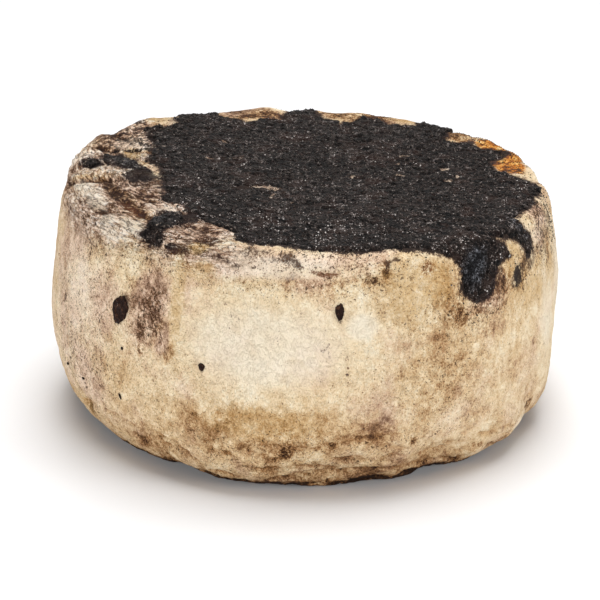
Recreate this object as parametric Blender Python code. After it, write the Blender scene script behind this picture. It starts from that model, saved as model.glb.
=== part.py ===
"""A whole wheel of aged pecorino with an ash-rubbed top face.

One solid: the cheese with its rind. The wheel is a drum whose side bulges to a belly below mid-height, with a
tight shoulder above and a long soft heel below. Years in a cloth and on a shelf have left it uneven: it leans
a little, it is thicker on one side, its top face is dished inside a raised rim, and its skin has swells,
dents, pleats and crags. Metres, +Z up, origin at the centre of the underside; the front is towards -Y.
"""

import math

import bmesh
import bpy
import numpy as np
from mathutils import Vector, noise

# Driving dimensions of the plain drum
RADIUS = 0.095
HEIGHT = 0.0882
BELLY_HEIGHT = 0.0395
SHOULDER_RUN = 0.0084
SHOULDER_SQUARENESS = 1.72
HEEL_RUN = 0.0219
HEEL_SQUARENESS = 2.64
CORNER_SOFTENING = 0.006

# How the drum departs from a true round
LEAN = 0.0018
THICKER_SIDE = 0.042
OVAL = 0.012
OVAL_AZIMUTH = math.radians(-48)
THREE_LOBES = 0.012
THREE_LOBES_AZIMUTH = math.radians(42)

# The top face
DISH_DEPTH = 0.0016
RIM_RADIUS = 0.0845
RIM_WIDTH = 0.0045
RIM_RISE = 0.0007
LIP_AZIMUTH = math.radians(240)
LIP_SPREAD = math.radians(38)
LIP_RISE = 0.0008
CRAG_SIZE = 0.011
CRAG_RISE = 0.0009

# Unevenness of the whole skin
SWELL_SIZE = 0.030
SWELL_RISE = 0.0007
LUMP_SIZE = 0.012
LUMP_RISE = 0.00035
FOOT_CLEARANCE = 0.006
NOISE_SHIFT = Vector((3.7, 1.3, 5.6))

# Swells (+) and dents (-) on the side: azimuth in degrees from +X, height, half width, push
SIDE_SWELLS = (
    (0, 0.082, 0.006, 0.0010),
    (6, 0.086, 0.006, -0.0018),
    (30, 0.086, 0.010, 0.0006),
    (52, 0.086, 0.006, -0.0010),
    (158, 0.086, 0.005, 0.0010),
    (173, 0.083, 0.008, -0.0010),
    (183, 0.086, 0.007, -0.0016),
    (178, 0.066, 0.014, -0.0007),
    (182, 0.036, 0.012, 0.0006),
    (186, 0.018, 0.012, -0.0010),
    (203, 0.008, 0.014, -0.0010),
    (252, 0.008, 0.022, 0.0022),
    (279, 0.008, 0.014, -0.0026),
    (300, 0.008, 0.012, -0.0034),
    (320, 0.008, 0.013, 0.0024),
    (333, 0.008, 0.012, -0.0008),
    (344, 0.012, 0.011, 0.0014),
    (353, 0.028, 0.014, -0.0006),
)

# Swells and dents on the top face: x, y, half width, push
TOP_SWELLS = (
    (0.017, 0.083, 0.009, -0.0006),
    (-0.004, 0.085, 0.006, -0.0020),
    (-0.016, 0.085, 0.005, 0.0012),
    (-0.042, 0.077, 0.009, -0.0008),
    (-0.068, 0.056, 0.008, 0.0012),
    (-0.083, 0.030, 0.004, -0.0012),
)

# Pleats that cross the shoulder: azimuth in degrees, inner radius, half width, depth
SHOULDER_PLEATS = (
    (168, 0.060, 0.0035, 0.0014),
    (180, 0.066, 0.0030, 0.0011),
    (193, 0.062, 0.0035, 0.0013),
)

# Creases that run round the heel: first azimuth, last azimuth, height, half width, depth
HEEL_CREASES = (
    (236, 286, 0.0075, 0.0028, 0.0008),
    (291, 322, 0.0095, 0.0030, 0.0010),
)

CELLS = 30  # faces along each edge of the cube that the drum is laid out from
PROFILE_SAMPLES = 400
ROW_CROWDING = 0.015  # length that a bend of one radian counts for when the rows of faces are spaced
RIND_COLOUR = (0.70, 0.55, 0.36, 1.0)
RIND_ROUGHNESS = 0.78


def clear_scene():
    for obj in list(bpy.data.objects):
        bpy.data.objects.remove(obj)


def rind_material():
    material = bpy.data.materials.new("aged_rind")
    material.use_nodes = True
    shader = material.node_tree.nodes["Principled BSDF"]
    shader.inputs["Base Color"].default_value = RIND_COLOUR
    shader.inputs["Roughness"].default_value = RIND_ROUGHNESS
    shader.inputs["Metallic"].default_value = 0.0
    return material


def corner_curve(run, rise, squareness):
    """Quarter of a superellipse, from (run, 0) at its side to (0, rise) at its end."""
    turn = np.linspace(0, math.pi / 2, PROFILE_SAMPLES)
    across = run * np.cos(turn) ** (2 / squareness)
    along = rise * np.sin(turn) ** (2 / squareness)
    return across, along


def softened(values, spacing, beyond_the_ends):
    """Values taken at even steps along the half section, averaged with their neighbours to round its corners."""
    reach = round(CORNER_SOFTENING / spacing)
    weights = np.hanning(2 * reach + 3)[1:-1]
    return np.convolve(
        np.pad(values, reach, mode="reflect", reflect_type=beyond_the_ends), weights / weights.sum(), "valid"
    )


def drum_profile():
    """Half section from the centre of the top face, over the shoulder and heel, to the centre of the underside.

    The first list says how far along it each point comes, with bends counted as longer than they are.
    """
    shoulder_r, shoulder_z = corner_curve(SHOULDER_RUN, HEIGHT - BELLY_HEIGHT, SHOULDER_SQUARENESS)
    heel_r, heel_z = corner_curve(HEEL_RUN, BELLY_HEIGHT, HEEL_SQUARENESS)
    radius = np.concatenate(
        [[0], (RADIUS - SHOULDER_RUN + shoulder_r)[::-1], RADIUS - HEEL_RUN + heel_r[1:], [0]]
    )
    height = np.concatenate([[HEIGHT], (BELLY_HEIGHT + shoulder_z)[::-1], BELLY_HEIGHT - heel_z[1:], [0]])
    length = np.concatenate([[0], np.cumsum(np.hypot(np.diff(radius), np.diff(height)))])
    even = np.linspace(0, length[-1], 4 * PROFILE_SAMPLES)
    radius = softened(np.interp(even, length, radius), even[1], "odd")
    height = softened(np.interp(even, length, height), even[1], "even")
    run, rise = np.diff(radius), np.diff(height)
    heading = np.unwrap(np.arctan2(rise, run))
    steps = np.hypot(run, rise) + ROW_CROWDING * np.abs(np.diff(heading, append=heading[-1]))
    return np.concatenate([[0], np.cumsum(steps)]), radius, height


PATH, PATH_RADIUS, PATH_HEIGHT = drum_profile()


def square_azimuth(x, y):
    """Azimuth of a point on a square, spaced evenly round it."""
    if abs(x) >= abs(y):
        turn = math.pi / 4 * y / x if x else 0.0
        return turn if x >= 0 else turn + math.pi
    turn = math.pi / 2 - math.pi / 4 * x / y
    return turn if y > 0 else turn + math.pi


def out_of_round(radius, height, azimuth):
    """The point of the uneven drum that belongs to a point of the true round one."""
    lobes = 1 + OVAL * math.cos(2 * (azimuth - OVAL_AZIMUTH))
    lobes += THREE_LOBES * math.cos(3 * (azimuth - THREE_LOBES_AZIMUTH))
    x = radius * math.cos(azimuth) * lobes + LEAN * (height / HEIGHT - 0.5)
    y = radius * math.sin(azimuth) * lobes
    return Vector((x, y, height * (1 - THICKER_SIDE * x / RADIUS)))


def drum_point(corner):
    """Lays a point of the cube's surface on the drum: its top and bottom as discs, its four sides as the wall."""
    ring = max(abs(corner.x), abs(corner.y))
    if corner.z > 1 - 1e-6:
        steps = ring / 2
    elif corner.z < -1 + 1e-6:
        steps = 2 - ring / 2
    else:
        steps = 1 - corner.z / 2
    way = PATH[-1] * steps / 2
    radius = float(np.interp(way, PATH, PATH_RADIUS))
    height = float(np.interp(way, PATH, PATH_HEIGHT))
    return out_of_round(radius, height, square_azimuth(corner.x, corner.y))


def wall_point(azimuth_degrees, height):
    """The point of the uneven drum's wall at that azimuth and height."""
    wall = slice(1, -1)
    radius = float(np.interp(-height, -PATH_HEIGHT[wall], PATH_RADIUS[wall]))
    return out_of_round(radius, height, math.radians(azimuth_degrees))


def bell(distance, half_width):
    return math.exp(-((distance / half_width) ** 2))


def smooth_step(value, low, high):
    share = min(max((value - low) / (high - low), 0), 1)
    return share * share * (3 - 2 * share)


def angle_between(one, other):
    return abs((one - other + math.pi) % (2 * math.pi) - math.pi)


def top_relief(point, radius, azimuth):
    """The dish, the raised rim with its lip at the front left, and the crags of the ash crust."""
    on_top = smooth_step(point.z, HEIGHT * 0.90, HEIGHT * 0.96)
    dish = -DISH_DEPTH * (1 - smooth_step(radius, 0, RIM_RADIUS))
    rise = RIM_RISE + LIP_RISE * bell(angle_between(azimuth, LIP_AZIMUTH), LIP_SPREAD)
    rim = rise * bell(radius - RIM_RADIUS, RIM_WIDTH)
    roughness = noise.turbulence(point / CRAG_SIZE + NOISE_SHIFT, 2, False)
    crag = CRAG_RISE * roughness * (1 - smooth_step(radius, RIM_RADIUS - 3 * RIM_WIDTH, RIM_RADIUS))
    return on_top * (dish + rim + crag)


def pleats(point, radius, azimuth):
    """Grooves that run outwards over the shoulder."""
    depth = 0.0
    on_shoulder = smooth_step(point.z, HEIGHT * 0.80, HEIGHT * 0.93)
    for degrees, inner, half_width, groove in SHOULDER_PLEATS:
        aside = radius * angle_between(azimuth, math.radians(degrees))
        depth += groove * bell(aside, half_width) * smooth_step(radius, inner, inner + 0.012)
    return -depth * on_shoulder


def creases(point, azimuth):
    """Grooves that run round the heel."""
    depth = 0.0
    degrees = math.degrees(azimuth) % 360
    for first, last, height, half_width, groove in HEEL_CREASES:
        along = smooth_step(degrees, first, first + 8) * (1 - smooth_step(degrees, last - 8, last))
        depth += groove * along * bell(point.z - height, half_width)
    return -depth


def relief(point, bumps):
    """How far the skin stands out (+) or in (-) at a point of the drum."""
    radius = math.hypot(point.x, point.y)
    azimuth = math.atan2(point.y, point.x)
    push = SWELL_RISE * noise.noise(point / SWELL_SIZE + NOISE_SHIFT)
    push += LUMP_RISE * noise.noise(point / LUMP_SIZE + NOISE_SHIFT)
    push += sum(height * bell((point - centre).length, width) for centre, width, height in bumps)
    push += top_relief(point, radius, azimuth) + pleats(point, radius, azimuth) + creases(point, azimuth)
    return push * smooth_step(point.z, 0.0, FOOT_CLEARANCE)


def make_wheel(collection):
    mesh = bpy.data.meshes.new("wheel")
    bm = bmesh.new()
    bmesh.ops.create_cube(bm, size=2)
    bmesh.ops.subdivide_edges(bm, edges=bm.edges, cuts=CELLS - 1, use_grid_fill=True)
    for vert in bm.verts:
        vert.co = drum_point(vert.co)
    bm.normal_update()
    bumps = [(wall_point(azimuth, height), width, push) for azimuth, height, width, push in SIDE_SWELLS]
    bumps += [(Vector((x, y, HEIGHT)), width, push) for x, y, width, push in TOP_SWELLS]
    skin = [vert.co + vert.normal * relief(vert.co, bumps) for vert in bm.verts]
    corners = np.array(skin)
    middle = (corners.min(axis=0) + corners.max(axis=0)) / 2
    for vert, place in zip(bm.verts, skin):
        vert.co = place - Vector((middle[0], middle[1], 0))
    bm.to_mesh(mesh)
    bm.free()
    mesh.shade_smooth()
    wheel = bpy.data.objects.new("wheel", mesh)
    wheel.data.materials.append(rind_material())
    collection.objects.link(wheel)
    return wheel


def main():
    clear_scene()
    collection = bpy.data.collections.new("pecorino_wheel")
    bpy.context.scene.collection.children.link(collection)
    make_wheel(collection)


main()
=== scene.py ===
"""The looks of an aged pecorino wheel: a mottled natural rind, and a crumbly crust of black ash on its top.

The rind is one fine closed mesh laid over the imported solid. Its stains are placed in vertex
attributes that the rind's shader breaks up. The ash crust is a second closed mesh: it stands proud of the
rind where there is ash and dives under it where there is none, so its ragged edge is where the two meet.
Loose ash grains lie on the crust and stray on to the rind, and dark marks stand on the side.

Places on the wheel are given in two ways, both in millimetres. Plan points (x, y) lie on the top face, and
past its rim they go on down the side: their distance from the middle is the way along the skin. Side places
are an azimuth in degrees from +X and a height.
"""

import math

import bmesh
import bpy
import numpy as np
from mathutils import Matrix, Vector, noise
from mathutils.bvhtree import BVHTree


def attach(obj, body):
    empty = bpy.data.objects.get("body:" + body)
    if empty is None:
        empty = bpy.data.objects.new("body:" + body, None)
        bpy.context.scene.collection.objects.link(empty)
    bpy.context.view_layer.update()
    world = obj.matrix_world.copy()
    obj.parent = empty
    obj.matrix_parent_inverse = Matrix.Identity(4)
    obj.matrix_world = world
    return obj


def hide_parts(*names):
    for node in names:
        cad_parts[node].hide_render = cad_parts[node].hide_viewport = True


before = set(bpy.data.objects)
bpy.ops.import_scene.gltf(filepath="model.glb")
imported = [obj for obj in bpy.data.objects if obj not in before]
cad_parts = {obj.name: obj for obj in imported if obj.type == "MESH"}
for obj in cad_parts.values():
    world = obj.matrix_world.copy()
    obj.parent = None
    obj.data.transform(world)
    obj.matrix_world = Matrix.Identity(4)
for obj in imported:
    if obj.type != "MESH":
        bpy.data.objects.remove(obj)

MM = 0.001
SEED = 7

# The wheel, in millimetres
CORE_HEIGHT = 44  # the point inside the wheel from which its skin is sounded
TILTS = 721  # directions of a profile, from straight up to straight down
PROFILE_AZIMUTHS = range(0, 360, 15)
SIDE_TILT = 27  # the whole side is less than this above or below the core
SIDE_RADIUS = 93
RIM_WAY = 87  # way from the middle of the top face to its rim
WHEEL_HEIGHT = 90
SPOT_EDGE = (0.35, 1.35)  # shares of a spot's half width between which it fades
OCTAVES = (0.7, 2.1)  # how much weaker, as a power, and how much finer each octave of unevenness is

# The rind's mesh: columns round the wheel, and rows at these ways from the middle of the top face
RIND_COLUMNS = 640
RIND_SEAM = 90  # azimuth of the first column, at the back
HIDDEN_ROWS = (0, 12, 24, 34, 42)
FINE_WAYS = (46, 187)
FINE_ROW = 1.02
FOOT_ROWS = (189, 193, 199, 207, 217, 229, 243)

# The ash crust's mesh: its cells across, and how far it reaches, also where the drip runs down the side
CRUST_CELLS = 300
CRUST_REACH = 94
DRIP_AZIMUTH = 316
DRIP_SPREAD = 15
DRIP_REACH = 20


def smooth_step(value, low, high):
    share = np.clip((value - low) / (high - low), 0, 1)
    return share * share * (3 - 2 * share)


def between(value, begins, whole, fades, ends):
    """1 from whole to fades, falling to 0 at begins and ends."""
    return smooth_step(value, begins, whole) * (1 - smooth_step(value, fades, ends))


def bell(distance, half_width):
    return np.exp(-((distance / half_width) ** 2))


def between_azimuths(one, other):
    """Signed turn from one azimuth to the other, in degrees."""
    return (one - other + 180) % 360 - 180


def turned(across, up, degrees):
    """The two coordinates of points in axes turned by that angle."""
    turn = math.radians(degrees)
    return across * math.cos(turn) + up * math.sin(turn), up * math.cos(turn) - across * math.sin(turn)


def rough(points, size, octaves=1, layer=0):
    """Smooth random unevenness from -1 to 1 at points given in millimetres, with lumps of that size."""
    shift = Vector((17.3, 5.1, 9.7)) * (layer + SEED)
    return np.array([noise.fractal(Vector(p) / size + shift, *OCTAVES, octaves) for p in points])


def shown(name, data):
    """An object with that data, in the scene."""
    item = bpy.data.objects.new(name, data)
    bpy.context.scene.collection.objects.link(item)
    return item


class Skin:
    """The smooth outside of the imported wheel, by azimuth and by the way along it from its top's middle."""

    def __init__(self, node):
        self.tree = BVHTree.FromPolygons(*self.smooth_faces(node))
        self.core = Vector((0, 0, CORE_HEIGHT * MM))
        self.tilts = np.linspace(90, -90, TILTS)
        profiles = [[self.sound(a, t) for t in self.tilts] for a in PROFILE_AZIMUTHS]
        reach = np.array([[point.xy.length for point in profile] for profile in profiles]).mean(axis=0)
        level = np.array([[point.z for point in profile] for profile in profiles]).mean(axis=0)
        steps = np.hypot(np.diff(reach), np.diff(level)) / MM
        self.ways = np.concatenate([[0], np.cumsum(steps)])

    def smooth_faces(self, node):
        """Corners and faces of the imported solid, joined up and subdivided."""
        bm = bmesh.new()
        bm.from_mesh(node.data)
        bmesh.ops.remove_doubles(bm, verts=bm.verts, dist=1e-6)
        mesh = bpy.data.meshes.new("skin")
        bm.to_mesh(mesh)
        bm.free()
        shape = shown("skin", mesh)
        subdivision = shape.modifiers.new("smooth", "SUBSURF")
        subdivision.levels = subdivision.render_levels = 1
        fine = shape.evaluated_get(bpy.context.evaluated_depsgraph_get()).to_mesh()
        corners = [v.co.copy() for v in fine.vertices]
        faces = [tuple(p.vertices) for p in fine.polygons]
        bpy.data.objects.remove(shape)
        bpy.data.meshes.remove(mesh)
        return corners, faces

    def sound(self, azimuth, tilt):
        """The point of the skin seen from the core in that direction, in degrees."""
        azimuth, tilt = math.radians(azimuth), math.radians(tilt)
        flat = math.cos(tilt)
        direction = Vector((flat * math.cos(azimuth), flat * math.sin(azimuth), math.sin(tilt)))
        return self.tree.ray_cast(self.core, direction)[0]

    def points(self, azimuths, ways):
        tilts = np.interp(ways, self.ways, self.tilts)
        return np.array([self.sound(a, t) for a, t in zip(azimuths, tilts)]) / MM

    def at_height(self, azimuth, height):
        """The point of the side at that azimuth and height, in millimetres."""
        found = [self.sound(azimuth, tilt) / MM for tilt in self.tilts if abs(tilt) < SIDE_TILT]
        return min(found, key=lambda point: abs(point.z - height))


# ---------------------------------------------------------------- where the ash and the stains lie

# Edge of the ash crust in plan points: down its right side, over the front, up the left and along the back
ASH_EDGE = (
    (86.4, 2.9), (88, -2), (90, -5.7), (88.6, -12.1), (85.7, -18.6), (84.5, -26), (80.7, -34.3),
    (77.1, -40.7), (75, -43.6), (79.3, -46.5), (84, -45), (87.5, -47.5), (88, -51.5), (86.5, -54),
    (85, -53.5), (83, -52.5), (75.7, -54.6), (71.4, -57.1), (65.5, -61.2), (71.4, -60), (76.8, -60.7),
    (74.3, -64.3), (72.1, -68.6), (72.9, -72.9), (74.3, -78.6), (71.4, -82.9), (68.6, -85), (60.7, -85.7),
    (58.6, -84.3), (57.9, -80.7), (56.4, -78.6), (52, -76.4), (44.3, -77.5), (30, -80), (20, -83.2),
    (10, -83.6), (0, -83), (-4.3, -80.7), (-16.4, -78.6), (-21.4, -75.7), (-22.9, -67.9), (-25.7, -62.9),
    (-31.4, -56.4), (-38, -50), (-39, -46), (-41, -40), (-46, -36), (-48, -30), (-46.5, -26),
    (-48.6, -20), (-49, -10), (-50.7, 2.1), (-54.3, 9.3), (-55.7, 14.3), (-55, 19.3), (-53.6, 26.4),
    (-54.3, 32), (-57, 39.3), (-57, 43.6), (-54.3, 47.9), (-45.7, 55), (-48, 59.3), (-47, 66), (-50, 71),
    (-46, 77), (-40, 79.5), (-34.3, 80.7), (-33.6, 71.4), (-24.3, 66.4), (-22.9, 61.4), (-20, 63.6),
    (-14.3, 70.7), (-8.6, 70.7), (-6.4, 80.7), (-5, 87.5), (3.6, 87.5), (5, 80.7), (7.9, 75),
    (13.6, 73.6), (14.6, 65), (16.8, 73.6), (20, 75), (24.3, 80), (31.4, 77), (34.3, 72), (38.2, 72),
    (45, 69.2), (50, 68.4), (53, 67), (55.5, 69), (57.5, 66), (57.9, 60.7), (57.9, 52), (60, 49.3),
    (67.1, 48.6), (71.4, 42), (74, 40), (79, 37.8), (81.4, 34), (80, 30), (76, 27), (76.4, 19.3),
    (76.8, 14.3), (80, 11.4),
)

# Flakes of ash apart from the crust
ASH_FLAKES = (
    (
        (-77, 2.5), (-77.5, 6), (-75, 8.2), (-71.5, 7.5), (-71, 4), (-73, 2),
    ),
    (
        (-72.5, 18), (-66.4, 17), (-61.5, 11), (-57.5, 4), (-53.5, -2.5), (-60, -2.5), (-65.5, 1),
        (-70, 8),
    ),
    (
        (46, 75), (47, 70.5), (52, 67), (56.5, 62.5), (60, 62), (60.5, 64.5), (58, 68), (52, 72.6),
        (48.5, 75.6),
    ),
    (
        (-41, -47), (-46, -47), (-50, -52), (-50, -58), (-53, -63), (-56, -65), (-55, -68.5),
        (-50.5, -72.5), (-47, -70), (-46, -65), (-42, -61), (-40, -56), (-39.5, -51),
    ),
)

# Worn places in the crust where the rind tints it: plan point, half length, half width, turn, strength
ASH_WEAR = (
    (-13.5, -15.5, 6.5, 1.9, -20, 1.0), (-11, -25, 5, 0.8, 80, 0.8), (-4, -32, 1.6, 0.9, 0, 0.9),
    (-34.3, 17, 1.8, 1.2, 0, 0.9), (-24.3, 18.6, 3.4, 1.5, 10, 0.6), (-29.3, 35.7, 1.8, 1.0, 0, 0.9),
    (37, 4, 2.6, 1.2, 0, 0.8), (55.3, 12, 2.6, 1.8, 0, 1.0), (40, 28.5, 3.2, 1.9, 0, 0.9),
    (37, 18, 2.2, 1.1, 0, 0.8), (56.5, -1, 2.6, 1.9, 0, 0.9), (18.6, 2.9, 1.4, 0.9, 0, 0.8),
    (60.7, 3.6, 1.8, 1.0, 0, 0.7),
)  # fmt: skip

# Painted sheen, the crust paler and bluer: plan point, half length, half width, turn, strength
PAINTED_SHEENS = (
    (61.5, -75, 6, 9, 0, 0.9), (78, -47, 6, 4, 0, 0.5), (-49, -54, 6, 6, 0, 0.5),
    (-63, 9, 12, 4, -58, 0.4),
)  # fmt: skip

# Crevices and hollows in the crust: plan point, half length, half width, turn, depth
ASH_HOLLOWS = (
    (-22.5, -14, 5, 3.0, 10, 1.5), (1.5, -32.5, 3, 1.5, 0, 1.0), (-15, -54, 6, 2.5, 30, 1.1),
)  # fmt: skip

# Stains near the top, by finish: plan point, half length, half width, turn and strength
PLAN_STAINS = {
    "blush": (
        (-32, -67, 13, 8, 40, 0.9), (-53.5, -26, 7, 4, 0, 1.0), (74, -76, 10, 10, 0, 0.9),
        (88, -32, 10, 14, 0, 0.5), (58, 66, 14, 8, -42, 0.9), (-22, 76, 16, 8, 0, 0.9),
        (25, 80, 18, 7, -10, 0.6),
    ),
    "smudge": (
        (-31, -75, 6, 3.5, -20, 0.95), (-22, -74, 8, 1.5, -60, 0.8), (-44, -76, 7, 3, -30, 1.0),
        (-55, -45, 9, 2, -62, 0.7), (-70, -43, 5, 3, 120, 0.8), (-49, -23, 3, 7, 0, 0.9),
        (-56, -14, 7, 10, 0, 1.0), (-5, -87, 3.5, 3, 0, 0.9), (-2, -90, 5, 2, -50, 0.9),
        (-14, -84, 5, 2, 10, 0.8), (-19, -83, 4, 2.5, 30, 0.8), (-24, -84, 3, 3, 0, 0.7),
        (22, -92, 5, 3, 12, 0.6), (30, -84.5, 3.5, 1.2, 20, 0.9), (28.5, -86.8, 1.6, 2.6, 0, 1.0),
        (84.5, -65, 3, 5, 15, 0.9), (66, -80, 7, 10, 0, 0.7), (74, -72, 3, 8, 0, 0.9),
        (90, -52, 4, 7, 0, 0.9), (87, -58.5, 6, 2.2, 115, 1.0), (83.5, -67, 3, 2, 118, 1.0),
        (72, -72, 4, 4, 0, 0.7), (71, -77, 4, 5, 0, 0.8), (86, -8, 1.6, 10, 5, 0.9),
        (84, -24, 1.6, 10, 20, 0.7), (54, 67, 6, 1.5, -42, 0.8), (50, 74, 9, 2, -30, 0.9),
        (30, 86, 20, 2.5, -18, 0.8), (-24, 84, 16, 2.5, 10, 0.8), (-25, 77, 5, 2, 10, 0.6),
        (20, 83, 5, 1.6, -10, 0.6), (-49, -10, 14, 2.6, 80, 1.0),
    ),
    "brown": (
        (-30, -66, 12, 7, 40, 0.9), (-60, -33, 24, 3.5, -67, 1.3), (-69.5, -43, 7, 3.5, 120, 1.0),
        (-52.5, -35, 6, 4, 120, 1.0), (-76.5, -12, 7, 1.6, 15, 1.0), (-66, 34, 9, 14, 0, 0.6),
        (18, -91.5, 11, 5, 12, 0.6), (-8, -93, 16, 4, 0, 0.6), (4, -92, 8, 1.5, 0, 0.9),
        (44, -83, 4, 2.5, 0, 0.9), (62.5, -94, 5, 5, 0, 0.8), (88, -59, 9, 5, 110, 1.0),
        (74, -74, 8, 8, 0, 1.2), (88, -54.5, 2.5, 5, 0, 0.8), (60, 62, 14, 8, -42, 1.4),
        (25, 80, 18, 8, -10, 1.3), (-22, 74, 15, 9, 0, 1.3),
    ),
    "ochre": (
        (-35, -78, 4.5, 3.5, 0, 0.9), (-57, 6, 5, 3, 60, 0.7), (-62, 17, 6, 4, 100, 0.8),
        (-54, 60, 4, 8, 0, 0.8), (41, 78, 12, 4, -35, 0.9),
    ),
    "soot": (
        (-46, -74, 4, 1.4, -30, 0.8), (-64, 8, 11, 4, -58, 1.2), (-57, -7, 6, 8, -20, 1.3),
        (-38.5, -52, 3.5, 5, 20, 1.1), (-62, 36, 9, 14, 0, 0.5), (-64, 44, 9, 8, 0, 0.5),
        (-57, 28, 4, 8, 0, 0.6), (-61.5, 55, 4.5, 6, 20, 0.95), (-60, 22, 10, 1.2, 0, 0.95),
        (-49, -60, 3, 3, 0, 0.9), (85.2, -63, 4.8, 4.2, 105, 0.95), (-50, -6, 8, 2.2, 82, 0.75),
    ),
    "rust": (
        (-57, -44, 9, 2.5, -62, 0.9), (4, -92, 5, 1.2, -10, 0.8), (8, -93, 3, 1, 0, 0.7),
        (43, -82.5, 3, 2, 0, 0.6),
    ),
    "bloom": (
        (-66.5, -51, 5, 4, 0, 1.1), (-57, -60, 9, 5, -45, 1.1), (-46, -44, 5, 3.5, 0, 0.8),
        (-50.5, -20, 3, 4, 0, 0.4), (-69, -38, 9, 6, 110, 1.0), (-75, -20, 8, 5, 100, 0.9),
        (-80, 12, 6, 8, 0, 0.7), (-71, -28, 6, 8, 0, 0.8), (79, 23, 2.5, 2, 0, 0.9),
        (91, 25, 16, 3, -70, 1.0), (84.5, 38, 24, 2.6, -64, 1.5), (44, 78, 10, 2.6, -35, 0.9),
        (-12, 82, 7, 3, 10, 0.6), (14, 84, 8, 2.5, -5, 0.7), (-62, 30, 12, 6, 60, 0.7),
    ),
    "plum": (
        (-57, -15, 9, 9, 0, 0.9), (-50, -27, 8, 4, 60, 0.7),
    ),
    "dark": (
        (-66, 30, 9, 16, 0, 0.5), (-60, -33, 8, 9, 0, 0.5), (-44, -62, 5, 9, 0, 0.4),
        (66, 56, 10, 8, -45, 0.6), (59, 64, 8, 4, -42, 0.8), (22, 80, 18, 6, -10, 0.6),
        (-20, 75, 14, 8, 10, 0.6), (-68, -48, 4, 3, 30, 0.6),
    ),
    "pepper": (
        (0, -88, 40, 8, 0, 1.5), (87, -60, 9, 9, 0, 1.4), (76, -74, 12, 14, 0, 1.2),
        (92, -45, 8, 14, 0, 1.2), (90, -15, 7, 20, 10, 1.1), (89, 33, 30, 7, -65, 1.3),
        (85, 36, 24, 9, -65, 1.0), (60, 64, 13, 9, -45, 1.4), (25, 80, 20, 7, -10, 1.4),
        (-20, 76, 16, 10, 0, 1.3), (-50, -16, 14, 6, 75, 2.0), (-68, -44, 16, 14, 0, 1.6),
    ),
    "amber": (
        (74.4, 42.9, 10, 3.6, -60, 1.3), (81.2, 32.5, 8, 3.6, -65, 1.2), (81.2, 20.8, 12, 5, -76, 1.3),
    ),
}  # fmt: skip

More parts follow.
